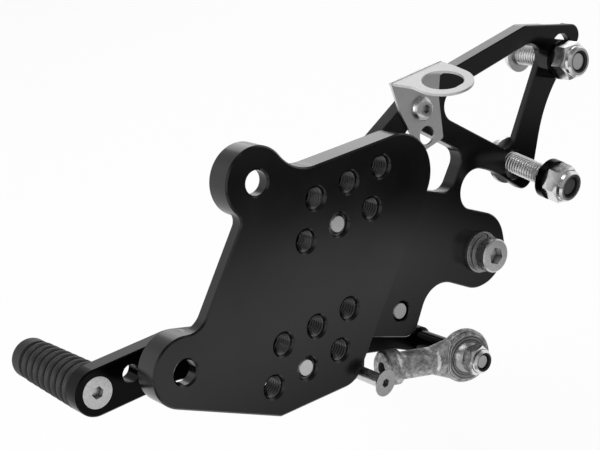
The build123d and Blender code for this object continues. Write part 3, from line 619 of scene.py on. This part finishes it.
# %% Assign the finishes
FINISHES = {
    "black_anodised": black_anodised,
    "black_steel": black_steel,
    "brushed_stainless": brushed_stainless,
    "stainless": stainless,
    "zinc_steel": zinc_steel,
    "polished_steel": polished_steel,
    "turned_steel": bearing_race,
    "cast_steel": forging,
    "bronze": bronze,
    "nylon": nylon,
    "black_rubber": rubber,
}
OWN_FINISH = {
    # the pedal and the spacer take the oxide's copy with painted shade
    "brake_pedal": shaded_anodised,
    "rod_spacer": shaded_anodised,
    "cylinder_bolt_upper": zinc_bolt,
    "cylinder_bolt_lower": turned_steel,
    "pedal_pivot_bolt": dull_stainless,
}
for part in frame["record"]["subparts"]:
    solid = frame["nodes"][part["node"]]
    finish = OWN_FINISH.get(part["node"], FINISHES[part["material_slot"]])
    solid.data.materials.clear()
    solid.data.materials.append(finish)

# %% [markdown]
# ## Threads
#
# A thread is one ridge that winds round an axis. A Screw modifier could sweep it, but
# its ends would be cut off square. Here the ridge is built from rings of four points,
# two at its root and two at its crest, that climb by one pitch each turn. At both ends
# the crest runs out into the root over a third of a turn, as it does where a die or tap
# stops. With the crest further from the axis than the root it is a screw's thread, and
# with the crest nearer it is a tapped hole's.

# %% Rings of a ridge
STEPS_PER_TURN = 28
RUN_OUTS_PER_TURN = 3
ROOT_HALF = 0.46
CREST_HALF = 0.1


def ridge(root, crest, pitch, length):
    """The rings of a ridge along Y, each of four places in millimetres."""
    steps = int(length / pitch * STEPS_PER_TURN)
    for step in range(steps + 1):
        angle = 2 * math.pi * step / STEPS_PER_TURN
        along = length * step / steps
        to_end = min(step, steps - step)
        fade = min(1.0, RUN_OUTS_PER_TURN * to_end / STEPS_PER_TURN)
        top = root + (crest - root) * fade
        profile = ((root, -ROOT_HALF), (top, -CREST_HALF), (top, CREST_HALF), (root, ROOT_HALF))
        yield [(radius * math.cos(angle), along + offset * pitch, radius * math.sin(angle))
               for radius, offset in profile]


print("one turn of a ridge has", STEPS_PER_TURN, "rings")

# %% [markdown]
# Neighbouring rings are joined by four walls and a face closes each end, so the ridge
# is a closed solid of its own. It could be cut into the plate or joined to the bolt
# with a Boolean, but that is slow and leaves poor faces, and a ridge that sits in the
# wall looks the same. It rides on the body of the plate or the bolt.

# %% Thread builder
def thread(name, place, root, crest, pitch, length, material, body):
    """A helical ridge along the local Y axis of place, from 0 to length in millimetres."""
    mesh = bmesh.new()
    rings = [[mesh.verts.new(mm(*spot)) for spot in ring]
             for ring in ridge(root, crest, pitch, length)]
    for one, two in zip(rings, rings[1:]):
        for n in range(4):
            mesh.faces.new((one[n], one[n - 1], two[n - 1], two[n]))
    mesh.faces.new(rings[0])
    mesh.faces.new(reversed(rings[-1]))
    bmesh.ops.recalc_face_normals(mesh, faces=mesh.faces)
    data = bpy.data.meshes.new(name)
    mesh.to_mesh(data)
    mesh.free()
    data.transform(place)
    data.materials.append(material)
    piece = bpy.data.objects.new(name, data)
    bpy.context.collection.objects.link(piece)
    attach(piece, body)
    print(name, "has", round(length / pitch, 1), "turns")


# %% [markdown]
# The mounting plate has two groups of tapped holes, each of two rows of three. The
# carrier bolts to one hole in each group, so the rider can choose a position. The
# holes are 15 mm apart and the rows lie on a 60 degree grid. Each place could be typed
# in, but two loops over the grid keep the threads and the holes on the same numbers.

# %% Tapped holes of the mounting plate
M8_PITCH = 1.25
M8_TAP_ROOT = 3.95
M8_TAP_CREST = 3.35
THREAD_TRIM = 1.2
TAP_START = 0.9
PLATE_THICKNESS = 9.5
HOLE_PITCH = 15.0
GRID_ANGLE = math.radians(240.0)
GRID_START = (36.7, -14.1)
GROUP_SPACING = 51.0


def grid_hole(column, row):
    """Centre of an adjustment hole in X and Z."""
    along = (row % 2) * HOLE_PITCH + (row // 2) * GROUP_SPACING
    x = GRID_START[0] + column * HOLE_PITCH + along * math.cos(GRID_ANGLE)
    z = GRID_START[1] + along * math.sin(GRID_ANGLE)
    return x, z


for row in range(4):
    for column in (-1, 0, 1):
        hole_x, hole_z = grid_hole(column, row)
        place = Matrix.Translation(mm(hole_x, TAP_START, hole_z))
        thread(f"plate_thread_{row}_{column + 1}", place, M8_TAP_ROOT, M8_TAP_CREST, M8_PITCH,
               PLATE_THICKNESS - THREAD_TRIM, lit_anodised_thread, "bracket")

# %% [markdown]
# The two long bolts of the master cylinder hang loose in their slots, so their threads
# show from end to end. Where each bolt lies, how long it is and how far the lower one
# droops are the numbers that its solid was built from. The script could search the
# solid for its axis, but the numbers are few and plain.

# %% Threads of the long bolts
UPPER_BOLT = (151.2, -8.5)
UPPER_SEAT = 25.8
UPPER_LENGTH = 30.0
LOWER_BOLT = (123.3, -41.0)
LOWER_LENGTH = 35.0
LOWER_DROOP = math.radians(11.0)
LOWER_SEAT = 3.8
CARRIER_MIDDLE = 12.5
TIP_CHAMFER = 0.8
STUD_ROOT = 3.5
STUD_CREST = 4.0

upper_tip = UPPER_SEAT - UPPER_LENGTH + TIP_CHAMFER
upper_place = Matrix.Translation(mm(UPPER_BOLT[0], upper_tip, UPPER_BOLT[1]))
thread("cylinder_bolt_thread_upper", upper_place, STUD_ROOT, STUD_CREST, M8_PITCH,
       UPPER_LENGTH - THREAD_TRIM, zinc_bolt, "bracket")

lower_tip = LOWER_SEAT - LOWER_LENGTH + TIP_CHAMFER
lower_place = (
    Matrix.Translation(mm(LOWER_BOLT[0], CARRIER_MIDDLE, LOWER_BOLT[1]))
    @ Matrix.Rotation(LOWER_DROOP, 4, "X")
    @ Matrix.Translation(mm(0.0, lower_tip, 0.0))
)
thread("cylinder_bolt_thread_lower", lower_place, STUD_ROOT, STUD_CREST, M8_PITCH,
       LOWER_LENGTH - THREAD_TRIM, zinc_bolt, "bracket")

# %% [markdown]
# ## The camera
#
# The place and the turn of the camera could be found by eye, but the bores, the tapped
# holes and the fasteners have known sizes, so both were solved from them. A lens of
# 87.6 mm on a 36 mm sensor is a short telephoto, which a product photographer would use
# because it keeps the plates' edges nearly parallel.

# %% Camera
CAMERA_PLACE = mm(-243.85, -377.18, 160.95)
CAMERA_TURN = (67.869, 11.309, -38.817)
LENS = 87.55
SENSOR_WIDTH = 36.0
CLIP_START = 10.0

lens = bpy.data.cameras.new("studio camera")
lens.lens = LENS
lens.sensor_width = SENSOR_WIDTH
lens.clip_start = CLIP_START * MM
camera = bpy.data.objects.new("studio camera", lens)
camera.location = CAMERA_PLACE
camera.rotation_euler = [math.radians(angle) for angle in CAMERA_TURN]
bpy.context.collection.objects.link(camera)
bpy.context.scene.camera = camera
print("the camera is", round(CAMERA_PLACE.length / MM), "mm from the upper ear")

# %% [markdown]
# ## The floor
#
# The studio is a white sweep. A bent sheet of paper could be modelled, but a large flat
# floor under a white world shows no horizon either. The rod end can turn until it hangs
# below the rest of the part, so the floor lies 40 mm lower and never hides it.

# %% Floor
FLOOR_SIZE = 6.0
FLOOR_MIDDLE = 30.0
ROD_END_DROP = 40.0

lowest = min(corner[2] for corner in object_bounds())
floor_mesh = bmesh.new()
bmesh.ops.create_grid(floor_mesh, x_segments=1, y_segments=1, size=FLOOR_SIZE / 2)
floor_data = bpy.data.meshes.new("floor")
floor_mesh.to_mesh(floor_data)
floor_mesh.free()
floor = bpy.data.objects.new("floor", floor_data)
floor.location = (FLOOR_MIDDLE * MM, FLOOR_MIDDLE * MM, lowest - ROD_END_DROP * MM)
bpy.context.collection.objects.link(floor)
floor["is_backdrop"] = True
print("the floor lies at", round(floor.location.z / MM, 1), "mm")

# %% [markdown]
# A camera ray that meets the floor sees mostly plain white and a little of its diffuse
# shading, so the object keeps a soft shadow while the floor stays pale. Mirror-like and
# see-through rays get the same white, so that metal shows the studio that one sees.

# %% The floor's white paper
FLOOR_GLOW = 0.93

sweep = start("white sweep")
path = add(sweep, "LightPath").outputs
mirrored = add(sweep, "Math", {0: path["Is Camera Ray"], 1: path["Is Glossy Ray"]},
               operation="MAXIMUM")
seen = add(sweep, "Math", {0: mirrored.outputs[0], 1: path["Is Transmission Ray"]},
           operation="MAXIMUM")
weight = add(sweep, "Math", {0: seen.outputs[0], 1: FLOOR_GLOW}, operation="MULTIPLY")
matt = add(sweep, "BsdfDiffuse", {"Color": linear("#e6e6e6")})
glow = add(sweep, "Emission", {"Color": linear("#ffffff"), "Strength": 1.0})
mixed = add(sweep, "MixShader", {0: weight.outputs[0], 1: matt.outputs[0], 2: glow.outputs[0]})
floor_data.materials.append(finish_with(sweep, mixed))
print("the floor shows", round(100 * FLOOR_GLOW), "percent plain white")

# %% [markdown]
# ## The world
#
# The world is white to the camera and to see-through rays, and half as bright to plain
# surfaces, so that it doesn't wash out the black plates. To mirror-like rays it is
# white at the sides and falls to a dim grey overhead, as a studio's ceiling does, which
# keeps the tops of the bright screws from turning flat white. A picture of a real
# studio could light the part as well, but these few nodes need no file and look the
# same from all round.

# %% World
AMBIENT = 0.5
CEILING_FROM = 0.5
CEILING_TO = 0.75
CEILING_LEVEL = 0.15

world = bpy.data.worlds.new("studio")
world.use_nodes = True
world.node_tree.nodes.clear()
bpy.context.scene.world = world
rays = add(world, "LightPath").outputs
either = add(world, "Math", {0: rays["Is Camera Ray"], 1: rays["Is Transmission Ray"]},
             operation="MAXIMUM")
level = add(world, "MapRange", {"Value": either.outputs[0], "To Min": AMBIENT, "To Max": 1.0})
direction = add(world, "TexCoord").outputs["Generated"]
height = add(world, "SeparateXYZ", {0: direction}).outputs["Z"]
ceiling = add(world, "MapRange", {
    "Value": height, "From Min": CEILING_FROM, "From Max": CEILING_TO,
    "To Min": 1.0, "To Max": CEILING_LEVEL,
})
shown = add(world, "Mix", {
    "Factor": rays["Is Glossy Ray"], "A": level.outputs[0], "B": ceiling.outputs[0],
})
back = add(world, "Background", {"Color": linear("#ffffff"), "Strength": shown.outputs[0]})
add(world, "OutputWorld", {"Surface": back.outputs[0]})
print("the world has", len(world.node_tree.nodes), "nodes")

# %% [markdown]
# ## Softboxes
#
# A product photographer lights small metal parts with softboxes, because a large lamp
# gives a broad, soft highlight where a bare bulb gives a hot dot. Three area lamps
# stand for them. Their sizes and places are in millimetres and their powers in watts.
# The one overhead does most of the work, and the two others lift the edges.

# %% Softboxes
MIDDLE = (50.0, 20.0, -50.0)
SOFTBOXES = (
    ("top softbox", (0.0, 50.0, 850.0), 600.0, 5.0),
    ("back softbox", (560.0, 740.0, 380.0), 560.0, 1.0),
    ("left softbox", (-800.0, 100.0, 200.0), 450.0, 3.0),
)

for name, place, size, power in SOFTBOXES:
    lamp = bpy.data.lights.new(name, "AREA")
    lamp.shape = "SQUARE"
    lamp.size = size * MM
    lamp.energy = power
    box = bpy.data.objects.new(name, lamp)
    box.location = mm(*place)
    box.rotation_euler = (mm(*MIDDLE) - mm(*place)).to_track_quat("-Z", "Y").to_euler()
    bpy.context.collection.objects.link(box)
    print(name, "gives", power, "W")

# %% [markdown]
# ## The dark card
#
# Black, glossy metal shows what stands in front of it, and a bare white studio would
# turn the plates grey. A photographer lays a dark card in front, just out of the
# picture. Here the card is one bent sheet, level with the part's lowest point, that
# rises at its far side. Less light in the whole studio could blacken the plates too,
# but it would dull the screws and the grey top edges. So only glossy rays see the card,
# and nothing else changes.

# %% The card's sheet
CARD_NEAR = -15.0
CARD_BEND = -500.0
CARD_LEAN = 200.0
CARD_RISE = 600.0
CARD_SIDES = (-450.0, 900.0)

card_z = lowest / MM
edges = (
    (CARD_NEAR, card_z),
    (CARD_BEND, card_z),
    (CARD_BEND - CARD_LEAN, card_z + CARD_RISE),
)
card_mesh = bmesh.new()
rows = [[card_mesh.verts.new(mm(x, y, z)) for x in CARD_SIDES] for y, z in edges]
for one, two in zip(rows, rows[1:]):
    card_mesh.faces.new((one[0], one[1], two[1], two[0]))
card_data = bpy.data.meshes.new("dark card")
card_mesh.to_mesh(card_data)
card_mesh.free()
card = bpy.data.objects.new("dark_card", card_data)
bpy.context.collection.objects.link(card)
card.visible_camera = False
card.visible_diffuse = False
card.visible_shadow = False
card.visible_transmission = False
card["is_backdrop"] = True
print("the card has", len(card_data.polygons), "faces, at", round(card_z, 1), "mm")

# %% [markdown]
# In the photograph the plates glow softly at one end and go to black at the other, as
# if a lamp threw a pool of light on the card. The tone goes by the distance past a
# corner of the pool, towards +X and -Y: full up to 45 mm, black from 135 mm, and a
# little lighter again far out. Close to the part the light fades, where the part itself
# would shade the card. A real spot lamp could draw the pool, but it would light the
# part as well, so the card glows by itself.

# %% The pool of light on the card
POOL_CORNER = (85.0, -110.0)
POOL_REACH = 250.0
POOL_TONES = (
    (45.0, 1.0),
    (72.0, 0.85),
    (90.0, 0.35),
    (110.0, 0.1),
    (135.0, 0.0),
    (185.0, 0.0),
    (235.0, 0.35),
)

dark_paper = start("dark card")
spot = add(dark_paper, "NewGeometry").outputs["Position"]
past_corner = add(dark_paper, "VectorMath", {
    0: spot, 1: (1.0, -1.0, 0.0), 2: mm(-POOL_CORNER[0], POOL_CORNER[1], 0.0),
}, operation="MULTIPLY_ADD")
beyond = add(dark_paper, "VectorMath", {0: past_corner.outputs[0], 1: (0.0, 0.0, 0.0)},
             operation="MAXIMUM")
distance = add(dark_paper, "VectorMath", {0: beyond.outputs[0]}, operation="LENGTH")
share = add(dark_paper, "Math", {0: distance.outputs["Value"], 1: 1 / (POOL_REACH * MM)},
            operation="MULTIPLY")
pool = add(dark_paper, "ValToRGB", {"Fac": share.outputs[0]})

# %% [markdown]
# A new colour ramp has two stops, and it can't be left with none. So one goes before
# the tones are put in, and the other after.

# %% The card's tones
NEAR_FADE = ((-15.0, 0.3), (-95.0, 1.0))

stops = pool.color_ramp.elements
stops.remove(stops[1])
for reach, tone in POOL_TONES:
    stop = stops.new(reach / POOL_REACH)
    stop.color = (tone, tone, tone, 1.0)
stops.remove(stops[0])
(near_y, near_tone), (far_y, far_tone) = NEAR_FADE
ahead = add(dark_paper, "SeparateXYZ", {0: spot}).outputs["Y"]
near = add(dark_paper, "MapRange", {
    "Value": ahead, "From Min": far_y * MM, "From Max": near_y * MM,
    "To Min": far_tone, "To Max": near_tone,
})
shine = add(dark_paper, "Emission", {"Color": pool.outputs[0], "Strength": near.outputs[0]})
card_data.materials.append(finish_with(dark_paper, shine))
print("the pool has", len(stops), "tones")

# %% [markdown]
# ## The colour view
#
# The dressed part must stay inside the solids' box. The Standard view shows a colour
# as it was written, where the default view would soften the whites and the blacks of a
# studio picture.

# %% The colour view
bpy.context.scene.view_settings.view_transform = "Standard"
